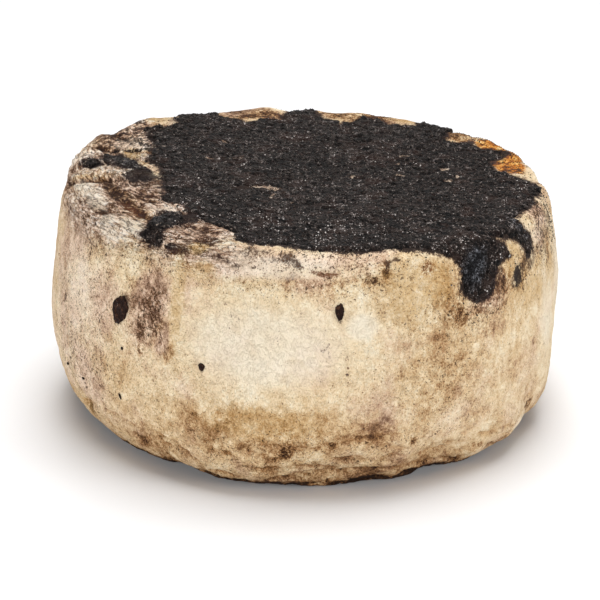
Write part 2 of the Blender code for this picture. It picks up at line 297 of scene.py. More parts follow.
# Stains on the side, by finish: azimuth, height, half width, half height, lean and strength
SIDE_STAINS = {
    "pepper": (
        (307, 67, 9, 7, 0, 1.6), (338, 74, 9, 14, 0, 2.0), (348, 70, 9, 18, 0, 1.5),
        (214, 80, 13, 9, 0, 1.5), (234.5, 61, 7, 15, -22, 2.2), (232, 62, 14, 20, 0, 1.0),
        (232, 82, 26, 10, 0, 1.2), (272, 82, 42, 10, 0, 1.1), (208, 50, 30, 44, 0, 1.2),
        (268, 15, 60, 14, 0, 0.8), (300, 45, 18, 34, 0, 0.7), (308, 64, 18, 10, 0, 1.2),
        (343, 78, 16, 12, 0, 1.2), (258, 82, 26, 7, 0, 0.7), (355, 50, 8, 40, 0, 1.3),
        (341, 80, 16, 12, 0, 1.9), (352, 62, 10, 26, 0, 1.2),
    ),
    "dark": (
        (315, 75, 1.6, 3.2, 0, 0.9), (232.5, 72, 2.6, 3, 0, 0.35), (234.6, 64, 3, 5, -20, 0.35),
        (237, 57, 2.4, 6, -20, 0.55), (239.8, 50, 2.4, 4.2, -20, 0.8), (304, 63, 4, 5, 0, 0.7),
        (243, 82, 2.6, 3.6, 25, 0.8), (282, 79, 9, 2.5, 0, 0.2), (268, 80, 5, 3, 0, 0.45),
        (253, 29, 5, 3.5, 0, 0.35), (266.3, 18, 2.6, 2.8, 0, 1.1), (266, 25, 3, 6, 0, 0.35),
        (304, 63, 3.5, 6, 0, 0.75), (311, 64, 9, 3, 10, 0.6), (319, 69, 5, 6, -30, 0.75),
        (321, 74, 3, 8, -20, 0.5), (297, 81, 4, 3, 0, 0.7), (287.5, 82.5, 1.8, 3, 0, 1.1),
        (256, 85, 8, 2.5, 0, 0.5), (241, 85, 4, 2.5, 0, 0.8), (275, 78, 7, 4, 0, 0.4),
        (200.5, 52, 2.2, 4.5, -20, 0.6), (203, 36, 3, 3, 0, 0.5), (231, 13, 8, 4, 0, 0.15),
        (208, 12, 7, 2.5, 0, 0.8), (332, 15, 3.5, 3.5, 0, 0.9), (323, 7, 5, 3, 0, 0.8),
        (312, 9, 4, 2.5, 0, 0.5), (231.5, 47.5, 2, 2, 0, 0.8), (293.5, 20, 1.6, 1.8, 0, 1.0),
        (276, 20, 1.6, 1.6, 0, 1.0),
    ),
    "smudge": (
        (313.5, 69, 1.5, 2.2, 0, 0.9), (318, 71, 1.2, 2, 0, 0.8), (237.6, 55, 1.8, 3.4, -20, 0.8),
        (239, 49.5, 1.6, 2, 0, 0.7), (226, 60, 4.6, 8.6, -14, 0.8), (277.4, 69, 1.8, 4, 0, 0.7),
        (248, 47, 1.8, 2.2, 0, 0.8), (201, 52, 1.6, 3.6, -25, 1.0), (203.5, 36, 1.4, 1.4, 0, 1.0),
        (218, 84, 2, 2, 0, 0.5), (224.5, 27, 1, 1.6, 0, 0.5), (231.5, 47.3, 1.3, 1.5, 0, 0.8),
        (254, 84.5, 5, 1.4, -14, 0.9), (249, 86, 8, 2, 0, 0.75), (262, 86.5, 7, 1.8, 0, 0.75),
        (346.5, 76, 2, 2, 0, 0.9), (345, 67.5, 2.5, 2.5, 0, 0.8), (349, 79, 2.5, 8, 0, 0.8),
    ),
    "ochre": (
        (324, 79, 4, 6, 0, 1.0), (225, 38, 10, 12, 0, 0.2), (262, 70, 12, 8, 0, 0.35),
        (241.5, 66, 3, 24, 0, 0.6), (248, 82, 5, 3, 0, 0.6), (246, 80, 7, 3, 0, 0.35),
        (262, 29, 26, 8, 0, 0.7), (293, 75, 13, 14, 0, 0.75), (300, 76, 6, 10, 0, 0.8),
        (332, 63, 24, 11, 0, 0.7), (335, 61, 10, 5, 0, 0.6), (321, 77, 5, 9, 0, 0.9),
        (203, 12, 15, 6, 0, 0.7),
    ),
    "amber": ((324, 80, 3, 4, 0, 0.25),),
    "brown": (
        (341, 73, 5, 11, 0, 0.7), (213, 79, 9, 7, 0, 0.4), (301.5, 71, 8, 13, 0, 0.9),
        (222, 34, 14, 14, 0, 0.4), (318, 46, 14, 18, 0, 0.25), (345, 70, 6, 10, 0, 0.6),
        (262, 25, 50, 12, 0, 0.85), (260, 31, 20, 5, 0, 0.9), (264, 36, 6, 8, 0, 0.6),
        (252, 28, 9, 6, 0, 0.9), (275, 27, 9, 6, 0, 0.9), (241, 22, 12, 9, 0, 0.6),
        (266, 14, 12, 6, 0, 0.4), (296, 28, 5, 8, 0, 0.6), (279, 23, 24, 1.6, 3, 0.7),
        (300, 47, 18, 17, 10, 0.7), (314, 58, 14, 8, 0, 0.4), (343, 82, 12, 5, 0, 0.4),
        (338, 84, 9, 4, 0, 0.8), (208, 86, 9, 4.5, 0, 0.6), (193, 60, 12, 26, 0, 0.2),
        (232, 14, 16, 8, 0, 0.5), (285, 8, 40, 5, 0, 0.3),
    ),
    "plum": (
        (233, 62, 10, 16, -20, 0.95), (238, 54, 3.5, 8, -16, 0.9), (229, 63, 6, 6, 0, 0.7),
        (252, 84, 13, 4.5, 0, 0.5), (287.3, 29, 3, 6.5, 0, 0.35),
    ),
    "blush": (
        (270, 84, 50, 7, 0, 0.6), (340, 84, 10, 6, 0, 1.0), (206, 50, 34, 46, 0, 0.5),
    ),
    "bloom": (
        (262, 57, 34, 19, 0, 0.9), (257, 56, 22, 14, 0, 0.9), (282, 64, 7, 6, 0, 1.0),
        (264, 84, 26, 5, 0, 0.85), (256, 87, 5, 3, 0, 0.9), (352, 55, 16, 26, 0, 0.7),
        (338, 48, 10, 22, 0, 0.7), (209, 60, 12, 16, 0, 0.5), (219, 86, 9, 5, 0, 0.9),
    ),
    "rust": (
        (276, 82, 6, 0.8, -6, 0.8), (297, 81, 3.5, 3, 0, 0.8),
    ),
}  # fmt: skip

FINISHES = ("soot", "smudge", "dark", "brown", "ochre", "rust", "amber", "plum", "bloom", "blush", "pepper")

# The side that no stain above reaches gets stains drawn by chance: finishes with their odds, and sizes
FREE_SIDE = (2, 172)
FREE_HEIGHTS = (6, 84)
FREE_STAINS = 46
FREE_FINISHES = ("brown", "bloom", "ochre", "dark", "plum")
FREE_ODDS = (0.34, 0.24, 0.24, 0.12, 0.06)
DARK_SIZES = (3, 5)
FREE_SIZES = (5, 16)
FREE_FLATNESS = (0.5, 1)
FREE_STRENGTHS = (0.4, 0.8)

# Creases in the rind: plan points along each, half width, depth, and darkness of the painted shade in it
CREASES = (
    (((-91, 5), (-86, -8), (-79, -16), (-74, -14.5), (-67, -12)), 1.5, 1.2, 0.9),
    (((-82, 24), (-71, 21.8), (-61.5, 21.2), (-56, 20.4), (-50, 13)), 1.3, 1.1, 1.0),
    (((-79, 46), (-72, 41), (-65.3, 34.7), (-60, 31)), 1.4, 1.1, 0.8),
    (((-88, 30), (-86, 44), (-82, 52), (-74, 62)), 1.4, 0.9, 0.8),
    (((-74, 46), (-70, 56), (-62, 67)), 1.2, 0.8, 0.8),
    (((-90, 12), (-84, 14), (-78, 13)), 1.3, 0.9, 0.6),
    (
        ((-41, -66), (-37.8, -57.5), (-33.2, -56), (-26.3, -61.5), (-19.6, -71.8), (-13.7, -78.8)),
        0.9, 0.6, 0.5,
    ),
    (((-43.8, -74), (-38.3, -69.5), (-34.2, -66), (-28.5, -69.8), (-22.2, -77.9)), 0.8, 0.4, 0.4),
    (((-68, -14), (-64, -28), (-59, -40), (-52, -52), (-49, -58)), 1.6, 0.7, 0.6),
    (((-74, -34), (-70, -42), (-66, -50)), 1.4, 0.5, 0.5),
    (((14.8, -153.3), (34.2, -148.1), (51.8, -142.4)), 2.0, 0.6, 0.15),
    (((-27, -171), (-3, -169.5), (25, -167), (43.5, -162.3), (81.6, -150.3)), 1.1, 0.7, 0.12),
    (((69.8, -160.5), (82.6, -155.4), (93.5, -149.7)), 1.1, 0.8, 0.2),
    (((-60, -163), (-80, -154), (-103, -138)), 1.2, 0.6, 0.15),
)  # fmt: skip

# Swells and dips of the wheel's outline: azimuth, way, half width, half length, height
SWELLS = (
    (23, 90, 6, 6, 1.1), (36, 89, 5, 5, 0.75), (49, 90, 7, 6, -0.9), (75, 87, 6, 6, 0.75),
    (83, 87, 5, 5, -0.75), (148, 84, 4, 6, -0.8), (170, 86, 4, 7, -0.8), (182, 86, 4, 6, -1.3),
    (239, 180, 10, 8, -0.9), (274, 178, 8, 8, 0.6), (286, 174, 7, 7, -0.8), (303, 180, 7, 7, -0.8),
    (313, 173, 7, 7, 0.8), (327, 167, 7, 8, 0.8), (357, 96, 6, 8, -0.7),
)  # fmt: skip

# Dark marks that stand on the side: azimuth, height, half width, half height, lean, thickness
DARK_MARKS = (
    (225.4, 59.6, 3.7, 5.2, -16, 1.3), (277.4, 69.6, 1.5, 3.1, -2, 0.9), (248, 47, 1.2, 1.4, 0, 0.6),
    (226.5, 46, 0.6, 0.7, 0, 0.3), (225, 27, 0.6, 1.3, 20, 0.3), (200.5, 26, 1.2, 0.5, 20, 0.3),
    (209.5, 25.5, 1.1, 0.5, 10, 0.3),
)  # fmt: skip


def line_distance(x, y, line):
    """How far points are from a line through the given corners, in millimetres."""
    nearest = np.full(x.shape, 1e9)
    for (x0, y0), (x1, y1) in zip(line[:-1], line[1:]):
        dx, dy = x1 - x0, y1 - y0
        along = np.clip(((x - x0) * dx + (y - y0) * dy) / (dx * dx + dy * dy), 0, 1)
        nearest = np.minimum(nearest, np.hypot(x - x0 - along * dx, y - y0 - along * dy))
    return nearest


def edge_distance(x, y, outline):
    """How far inside a closed outline points are, in millimetres; less than 0 outside."""
    closed = (*outline, outline[0])
    inside = np.zeros(x.shape, bool)
    for (x0, y0), (x1, y1) in zip(closed[:-1], closed[1:]):
        if y0 != y1:
            inside ^= ((y0 > y) != (y1 > y)) & (x < x0 + (y - y0) * (x1 - x0) / (y1 - y0))
    nearest = line_distance(x, y, closed)
    return np.where(inside, nearest, -nearest)


def ash_distance(x, y, feather=0):
    """How far inside the ash plan points are, in millimetres; feather unsettles the crust's edge alone."""
    crust = edge_distance(x, y, ASH_EDGE) + feather
    return np.max([crust, *(edge_distance(x, y, edge) for edge in ASH_FLAKES)], axis=0)


def spot(across, up, half_width, half_height, lean):
    """1 in the middle of an oval spot, fading to 0 a little past its edge."""
    across, up = turned(across, up, lean)
    return 1 - smooth_step(np.hypot(across / half_width, up / half_height), *SPOT_EDGE)


class Places:
    """Where the points of a piece lie: azimuth and way, plan point and side place."""

    def __init__(self, azimuth, way, points):
        self.azimuth = azimuth
        self.way = way
        self.points = points
        self.x = way * np.cos(np.radians(azimuth))
        self.y = way * np.sin(np.radians(azimuth))
        self.z = points[:, 2]

    def across(self, azimuth):
        return np.radians(between_azimuths(self.azimuth, azimuth)) * SIDE_RADIUS

    def in_plan(self, x, y, half_length, half_width, turn):
        return spot(self.x - x, self.y - y, half_length, half_width, turn)

    def on_side(self, azimuth, z, half_width, half_height, lean):
        below_rim = smooth_step(self.way, RIM_WAY - 6, RIM_WAY + 2)
        return spot(self.across(azimuth), self.z - z, half_width, half_height, lean) * below_rim


def free_stains():
    """Stains for the side that the tables leave bare, of the sorts and sizes of the others."""
    dice = np.random.default_rng(SEED)
    for _ in range(FREE_STAINS):
        finish = dice.choice(FREE_FINISHES, p=FREE_ODDS)
        half_width = dice.uniform(*(DARK_SIZES if finish == "dark" else FREE_SIZES))
        height = dice.uniform(*FREE_HEIGHTS)
        azimuth = dice.uniform(*FREE_SIDE)
        half_height = half_width * dice.uniform(*FREE_FLATNESS)
        yield finish, azimuth, height, half_width, half_height, 0, dice.uniform(*FREE_STRENGTHS)


def stains(places):
    """Each finish's share at these places, from 0 to about 1."""
    shares = {finish: np.zeros(len(places.way)) for finish in FINISHES}
    for finish, ovals in PLAN_STAINS.items():
        for *place, strength in ovals:
            shares[finish] = np.maximum(shares[finish], strength * places.in_plan(*place))
    side = [(finish, *oval) for finish, ovals in SIDE_STAINS.items() for oval in ovals]
    for finish, *place, strength in (*side, *free_stains()):
        shares[finish] = np.maximum(shares[finish], strength * places.on_side(*place))
    return shares


# ---------------------------------------------------------------- meshes


def outward(grid, wraps):
    """Unit normals of a grid, outwards where its columns run anticlockwise and its rows go down."""
    if wraps:
        padded = np.concatenate([grid[:, -1:], grid, grid[:, :1]], axis=1)
        across = (padded[:, 2:] - padded[:, :-2]) / 2
    else:
        across = np.gradient(grid, axis=1)
    normals = np.cross(np.gradient(grid, axis=0), across)
    return normals / np.maximum(np.linalg.norm(normals, axis=2, keepdims=True), 1e-9)


def evened(grid, times):
    """The grid with each point moved to the mean of itself and its neighbours up and down."""
    for _ in range(times):
        grid[1:-1] = (grid[:-2] + 2 * grid[1:-1] + grid[2:]) / 4
    return grid


def piece_from(name, corners, faces, bake_map, finish):
    """A smooth piece from corners in millimetres, faces and each face corner's place on the bake's map."""
    mesh = bpy.data.meshes.new(name)
    mesh.from_pydata((corners * MM).tolist(), [], faces)
    mesh.shade_smooth()
    mesh.uv_layers.new(name="OFBake").uv.foreach_set("vector", np.ravel(bake_map))
    mesh.materials.append(finish)
    return shown(name, mesh)


def paint_on(piece, name, values):
    layer = piece.data.attributes.new(name, "FLOAT", "POINT")
    layer.data.foreach_set("value", np.asarray(values, np.float32))


# ---------------------------------------------------------------- rind

# Sorts of unevenness, each with its size and its height
RIND_LUMP = (14, 0.28)
RIND_KNOB = (4.5, 0.16)
RIND_GRAIN = (1.9, 0.09)
PIT = (6, 0.45)
CREASE_WANDER = (3.5, 0.8)
FLAKE = (3.0, 0.9)
FOLD = (6.5, 0.9)
HEEL_WRINKLE = (3.4, 1.3)

STRIATION = 3.2  # how much longer a striation is than wide
PIT_EDGE = (0.42, 0.8)  # unevenness over which a pit goes down to its depth, and a wrinkle
WRINKLE_EDGE = (0.1, 0.6)
UNDER_ASH = (0.7, 0.6, 2.2)  # how far the rind sinks under ash, and over which distances from its edge

# The flaky shoulder at the left: where it begins, is whole, starts to fade and ends
FLAKY_AZIMUTHS = (120, 145, 248, 262)
FLAKY_INNER_WAYS = (50, 58)
FLAKY_OUTER_WAYS = (93, 107)
FLAKY_LIFT = (6, 3)  # how much higher up it ends, at the back and more at the front
FLAKY_FRONT = (212, 230)

# Ways down to the table: where the heel wrinkles, where the foot draws in, and where the relief ends
HEEL_WAYS = (150, 162, 178, 186)
FOOT_WAYS = (180, 186)
RELIEF_WAYS = (184, 190)
FOOT_GAP = 0.6  # how far the foot draws in
FOOT_SAG = (0.5, 2.5)  # heights between which the heel's lowest edge sinks onto the table

# What is painted near the ash, by distance from its edge, and the painted shade near the table, by the way
SOOT_SHARE = (1.2, -0.7, 0.2)  # share under the ash, and the distances over which it comes
PEPPER_REACH = 22
PEPPER_NEAR_ASH = 0.45
PEPPER_ON_FLAKES = 0.8
SMEAR_REACH = 3
FRINGE_REACH = 6
EDGE_SHADOW = (0.3, 1.3)  # distances over which a painted shadow line along the ash's edge fades
EDGE_SHADOW_SHARE = 0.8
CLEAN_FRONT = (272, 24, 0.6)  # azimuth and half width in degrees, and how much of the fringe is left out
# ways over which the heel darkens towards the table, partly a brown stain and partly painted shade
HEEL_STAIN_AND_SHADE_WAYS = (146, 176)
PAINTED_FOOT_SHADE = ((0.35, 166, 174), (1.6, 172.5, 177))  # painted shade at the foot: share, and the ways over which it comes

# Where crumbs of ash are strewn: near the ash, and on stretches of the rim
STREWN_REACH = 9
STREWN_EDGE = (-1.0, 0.0)  # distances over which it ends at the ash
RIM_CRUMBS = ((28, 89, 36, 7), (352, 97, 18, 11))  # azimuth, way, half length, half width
RIM_CRUMB_SHARE = 2

# The bake's map: its margin, the height of each half of the side, and the two end discs above them
MAP_MARGIN = 0.01
HALF_MAP = 0.42
DISC_HEIGHT = 0.935
DISC_RADIUS = 0.06
TOP_DISC = 0.2
FOOT_DISC = 0.6
FOOT_CENTRE = 20  # way from the last row to the foot's middle, on the map
NEARLY = 1e-6


def rind_rows():
    fine = np.arange(*FINE_WAYS, FINE_ROW)
    return np.concatenate([HIDDEN_ROWS, fine, FOOT_ROWS])


def flaky_share(places):
    """1 on the flaky shoulder at the left, 0 elsewhere."""
    along = between(places.azimuth, *FLAKY_AZIMUTHS)
    lift = FLAKY_LIFT[0] + FLAKY_LIFT[1] * smooth_step(places.azimuth, *FLAKY_FRONT)
    outer = 1 - smooth_step(places.way + lift, *FLAKY_OUTER_WAYS)
    return along * smooth_step(places.way, *FLAKY_INNER_WAYS) * outer


def striations(places, size, octaves, layer):
    """Unevenness drawn out along the rim."""
    around = np.radians(places.azimuth) * SIDE_RADIUS / STRIATION
    return rough(np.stack([places.way, around, np.zeros_like(around)], axis=1), size, octaves, layer)


def crease_depth(places):
    """How deep the creases are here, in millimetres, and how dark the painted shade in them is, from 0 to 1.
    """
    wander = CREASE_WANDER[1] * rough(places.points, CREASE_WANDER[0], 2, 8)
    depth = np.zeros(len(places.way))
    darkness = np.zeros(len(places.way))
    for line, half_width, deepest, darkest in CREASES:
        fade = bell(line_distance(places.x + wander, places.y + wander, line), half_width)
        depth = np.maximum(depth, deepest * fade)
        darkness = np.maximum(darkness, darkest * fade)
    return depth, darkness


def rind_relief(places, ash, creases):
    """How far the rind's skin stands out of the smooth wheel, in millimetres."""
    p = places.points
    height = RIND_LUMP[1] * rough(p, RIND_LUMP[0], 2, 1)
    height += RIND_KNOB[1] * rough(p, RIND_KNOB[0], 3, 2)
    height += RIND_GRAIN[1] * rough(p, RIND_GRAIN[0], 2, 3)
    height -= PIT[1] * smooth_step(-rough(p, PIT[0], 2, 4), *PIT_EDGE)
    flaky = flaky_share(places)
    height += flaky * FLAKE[1] * striations(places, FLAKE[0], 3, 5)
    height += flaky * FOLD[1] * striations(places, FOLD[0], 2, 7)
    for azimuth, way, half_width, half_length, swell in SWELLS:
        height += swell * spot(places.across(azimuth), places.way - way, half_width, half_length, 0)
    height -= creases
    wrinkled = smooth_step(-striations(places, HEEL_WRINKLE[0], 3, 6), *WRINKLE_EDGE)
    height -= between(places.way, *HEEL_WAYS) * HEEL_WRINKLE[1] * wrinkled
    height -= FOOT_GAP * smooth_step(places.way, *FOOT_WAYS)
    height -= UNDER_ASH[0] * smooth_step(ash, *UNDER_ASH[1:])
    return height * (1 - smooth_step(places.way, *RELIEF_WAYS))


def end_place(middle, reach, turn):
    """A place on one of the map's end discs, by its share of the disc's radius and its angle."""
    return middle + DISC_RADIUS * reach * np.cos(turn), DISC_HEIGHT + DISC_RADIUS * reach * np.sin(turn)


def foot_reach(rows, way):
    """How far out on the foot's disc a way lies, from 0 at the foot's middle to 1."""
    return (rows[-1] + FOOT_CENTRE - way) / (rows[-1] + FOOT_CENTRE - rows[-len(FOOT_ROWS) - 1])


def rind_bake_map(rows, columns):
    """Each face corner's place on the map: the side in two halves, one above the other, and two discs."""
    row, column = np.divmod(np.arange((len(rows) - 2) * columns), columns)
    row = row + 1
    corner_rows = np.stack([row, row + 1, row + 1, row], axis=1)
    corner_columns = np.stack([column, column, column + 1, column + 1], axis=1)
    half = (column >= columns // 2)[:, None]
    across = (corner_columns - half * (columns // 2)) / (columns // 2)
    way = rows[corner_rows]
    top_edge, foot_edge = FINE_WAYS[0], rows[-len(FOOT_ROWS) - 1]
    u = MAP_MARGIN + (1 - 2 * MAP_MARGIN) * across
    down = (way - top_edge) / (foot_edge - top_edge)
    v = MAP_MARGIN + half * (HALF_MAP + MAP_MARGIN) + HALF_MAP * (1 - down)
    turn = 2 * np.pi * corner_columns / columns
    for ends, reach, middle in (
        (way <= top_edge + NEARLY, way / top_edge, TOP_DISC),
        (way >= foot_edge - NEARLY, foot_reach(rows, way), FOOT_DISC),
    ):
        disc_u, disc_v = end_place(middle, reach, turn)
        whole = ends.all(axis=1)[:, None]
        u = np.where(whole, disc_u, u)
        v = np.where(whole, disc_v, v)
    return np.stack([u, v], axis=2).reshape(-1, 2)


def end_bake_maps(rows, columns):
    """The same for the two fans of triangles that close the top and the foot."""
    turns = 2 * np.pi * np.stack([np.arange(columns), np.arange(columns) + 1]) / columns
    maps = []
    for middle, reach, order in (
        (TOP_DISC, rows[1] / FINE_WAYS[0], (0, 1, 2)),
        (FOOT_DISC, foot_reach(rows, rows[-1]), (1, 0, 2)),
    ):
        rim = [np.stack(end_place(middle, reach, turn), axis=1) for turn in turns]
        trio = [np.full_like(rim[0], (middle, DISC_HEIGHT)), *rim]
        maps.append(np.stack([trio[k] for k in order], axis=1).reshape(-1, 2))
    return maps


def rind_faces(rings, columns):
    """Quads between the rings of corners, and a fan at each end round the two corners that follow them."""
    faces = []
    for ring in range(rings - 1):
        above, below = ring * columns, (ring + 1) * columns
        for c in range(columns):
            after = (c + 1) % columns
            faces.append((above + c, below + c, below + after, above + after))
    last = (rings - 1) * columns
    top, foot = rings * columns, rings * columns + 1
    faces += [(top, c, (c + 1) % columns) for c in range(columns)]
    faces += [(last + c, foot, last + (c + 1) % columns) for c in range(columns)]
    return faces


def paint_rind(rind, places, ash, relief, crease_shade_share):
    """The shares of its finishes, on the rind's corners; the last two are the middles of its top and foot."""

    def paint_all(name, values, top=0, foot=0):
        paint_on(rind, name, np.concatenate([values, (top, foot)]))

    def near_ash(reach):
        return 1 - smooth_step(-ash, 0.0, reach)

    flaky = flaky_share(places)
    shares = stains(places)
    shares["soot"] = np.maximum(shares["soot"], SOOT_SHARE[0] * smooth_step(ash, *SOOT_SHARE[1:]))
    around_ash = near_ash(PEPPER_REACH) * PEPPER_NEAR_ASH
    shares["pepper"] = np.max([shares["pepper"], around_ash, flaky * PEPPER_ON_FLAKES], axis=0)
    for name, share in shares.items():
        paint_all(name, share)
    paint_all("smear", near_ash(SMEAR_REACH), top=1)
    clean_front = bell(between_azimuths(places.azimuth, CLEAN_FRONT[0]), CLEAN_FRONT[1])
    fringe = near_ash(FRINGE_REACH) * (1 - CLEAN_FRONT[2] * clean_front)
    # the fringe, and a painted shadow line right along the ash's edge
    paint_all("fringe", fringe + EDGE_SHADOW_SHARE * (1 - smooth_step(-ash, *EDGE_SHADOW)), top=1)
    # painted shade along the creases
    paint_all("crack", crease_shade_share)
    # painted shade: the foot darkened where the table shades it
    foot = sum(share * smooth_step(places.way, low, high) for share, low, high in PAINTED_FOOT_SHADE)
    paint_all("foot", foot, foot=1)
    # the heel darker towards the table: partly a brown stain, partly painted shade
    paint_all("heel", smooth_step(places.way, *HEEL_STAIN_AND_SHADE_WAYS), foot=1)
    paint_all("flaky", flaky)
    # painted shade and light: the rind darker where its relief sinks and lighter where it swells
    paint_all("hollow", -relief)
    strewn = near_ash(STREWN_REACH) * (1 - smooth_step(ash, *STREWN_EDGE))
    for azimuth, way, half_length, half_width in RIM_CRUMBS:
        oval = spot(places.across(azimuth), places.way - way, half_length, half_width, 0)
        strewn += RIM_CRUMB_SHARE * oval
    paint_all("strewn", strewn)

    around = np.radians((places.azimuth - RIND_SEAM) % 360) * SIDE_RADIUS / STRIATION
    drawn_out = np.stack([places.way, around, np.zeros_like(around)], axis=1)
    layer = rind.data.attributes.new("skin", "FLOAT_VECTOR", "POINT")
    layer.data.foreach_set("vector", np.concatenate([drawn_out, np.zeros((2, 3))]).astype(np.float32).ravel())


def make_rind(skin, finish):
    rows = rind_rows()
    columns = RIND_COLUMNS
    azimuths = (RIND_SEAM + np.arange(columns) * 360 / columns) % 360
    azimuth, way = np.meshgrid(azimuths, rows[1:])
    smooth = skin.points(azimuth.ravel(), way.ravel()).reshape(*way.shape, 3)
    smooth = evened(smooth, 3)
    places = Places(azimuth.ravel(), way.ravel(), smooth.reshape(-1, 3))
    ash = ash_distance(places.x, places.y)
    creases, crease_shade_share = crease_depth(places)
    relief = rind_relief(places, ash, creases)
    rings = (smooth + outward(smooth, wraps=True) * relief.reshape(*way.shape, 1)).reshape(-1, 3)
    rings[:, 2] = np.maximum(rings[:, 2] * smooth_step(rings[:, 2], *FOOT_SAG), 0)

    top = np.array([[0, 0, rings[:columns, 2].mean()]])
    foot = np.array([[0, 0, rings[-columns:, 2].mean()]])
    corners = np.concatenate([rings, top, foot])
    bake_map = np.concatenate([rind_bake_map(rows, columns), *end_bake_maps(rows, columns)])
    rind = piece_from("rind", corners, rind_faces(len(rows) - 1, columns), bake_map, finish)
    paint_rind(rind, places, ash, relief, crease_shade_share)
    return rind


# ---------------------------------------------------------------- ash crust

CRUST_PROUD = 0.55
CRUST_SUNK = 1.8
CRUST_RAGGED = ((5, 1.5), (1.9, 1.0), (0.9, 0.6))  # size of the edge's bays, and how deep they go
CRUST_FEATHER = (3.2, 4.5)  # the same for the feathered edge on the flakes
CRUST_CLUMP = (9, 0.35)
CRUST_CRAG = (2.6, 0.5)
CRUST_CRUMB = (1.1, 0.3)
CREVICE = (3.4, 0.8)
CREVICE_EDGE = (0.3, 0.65)  # unevenness over which a crevice goes down to its depth
COVER_EDGE = (-0.5, 0.9)  # distances over which the ash comes up
CRUST_MIDDLE = (0.1, 20, 60)  # how much thicker the middle is, and the ways over which that fades
BURIED = (2.5, (0.96, 0.75, 0.45, 0.2))  # depth and reach of the rings that close it below
CRUST_MARGIN = 0.04  # left round the crust on the bake's map, where the rings go
MAP_BORDER = 0.998  # how far out they go there, as a share of the way to the map's border
WORN_FLAKES = (0.25, 0.5, 7)  # wear of the ash on the flakes, and the distances over which it fades
PAINTED_GLINT_PLACES = ((5, -66, 2, 22), (-34, -34, 1, 16))  # places with more painted glints: x, y, how much longer, half width


def disc_places(cells):
    """Azimuths and shares of the reach of a square grid's corners, drawn out to fill a disc evenly."""
    u, v = np.meshgrid(np.linspace(-1, 1, cells + 1), np.linspace(1, -1, cells + 1))
    wide = np.abs(u) > np.abs(v)
    far = np.where(wide, u, v)
    near = np.where(wide, v, u)
    slope = np.pi / 4 * near / np.where(far == 0, 1, far)
    angle = np.where(wide, slope, np.pi / 2 - slope) + np.where(far < 0, np.pi, 0)
    return np.degrees(angle) % 360, np.abs(far)


def crust_reach(azimuth):
    return CRUST_REACH + DRIP_REACH * bell(between_azimuths(azimuth, DRIP_AZIMUTH), DRIP_SPREAD)


def crust_height(places, ash):
    """How far the ash stands out of the smooth wheel, in millimetres, and its cover, from 0 to 1.

    Where there is no ash it is under the rind.
    """
    p = places.points
    edge = ash.copy()
    for layer, (size, depth) in enumerate(CRUST_RAGGED):
        edge += depth * rough(p, size, 2, 10 + layer)
    cover = smooth_step(edge, *COVER_EDGE)
    crags = CRUST_CLUMP[1] * rough(p, CRUST_CLUMP[0], 2, 20)
    crags += CRUST_CRAG[1] * rough(p, CRUST_CRAG[0], 3, 21)
    crags += CRUST_CRUMB[1] * rough(p, CRUST_CRUMB[0], 2, 22)
    crags -= CREVICE[1] * smooth_step(-rough(p, CREVICE[0], 2, 23), *CREVICE_EDGE)
    height = CRUST_PROUD + crags
    for *place, depth in ASH_HOLLOWS:
        height -= depth * places.in_plan(*place)
    thicker, full, fades = CRUST_MIDDLE
    height += (1 - smooth_step(places.way, full, fades)) * thicker
    return height * cover - CRUST_SUNK * (1 - cover), cover


def crust_underside(skin, azimuth, way, spots, edge):
    """The rings that close the crust below: corners, faces and their places on the bake's map.

    They go inwards from the crust's edge, and the last of the corners is their middle.
    """
    depth, reaches = BURIED
    room = 2 * CRUST_MARGIN
    middle = np.array([0.5, 0.5])
    after = np.roll(np.arange(len(edge)), -1)
    ring, ring_spots = edge, spots[edge]
    corners, faces, bake_map = [], [], []
    for step, reach in enumerate(reaches):
        inner = skin.points(azimuth[edge], way[edge] * reach)
        inwards = np.array(skin.core) / MM - inner
        inwards /= np.linalg.norm(inwards, axis=1, keepdims=True)
        corners.append(inner + inwards * (CRUST_SUNK + depth))
        new = len(way) + step * len(edge) + np.arange(len(edge))
        faces += np.stack([ring, new, new[after], ring[after]], axis=1).tolist()
        wider = 1 + room * (step + 1) / (len(reaches) + 1) / (1 - room)
        new_spots = middle + (spots[edge] - middle) * wider
        quads = np.stack([ring_spots, new_spots, new_spots[after], ring_spots[after]], axis=1)
        bake_map.append(quads.reshape(-1, 2))
        ring, ring_spots = new, new_spots
    corners.append(corners[-1].mean(axis=0, keepdims=True))
    last = len(way) + len(reaches) * len(edge)
    faces += [(int(a), last, int(b)) for a, b in zip(ring, ring[after])]
    border = middle + (spots[edge] - middle) / (1 - room) * MAP_BORDER
    outermost = (border + border[after]) / 2
    bake_map.append(np.stack([ring_spots, outermost, ring_spots[after]], axis=1).reshape(-1, 2))
    return corners, faces, bake_map


def crust_wear(places, ash):
    """How much of the ash is rubbed off here, from 0 to 1."""
    share, full, fades = WORN_FLAKES
    wear = flaky_share(places) * (1 - smooth_step(ash, full, fades)) * share
    for *place, strength in ASH_WEAR:
        wear = np.maximum(wear, strength * places.in_plan(*place))
    return wear


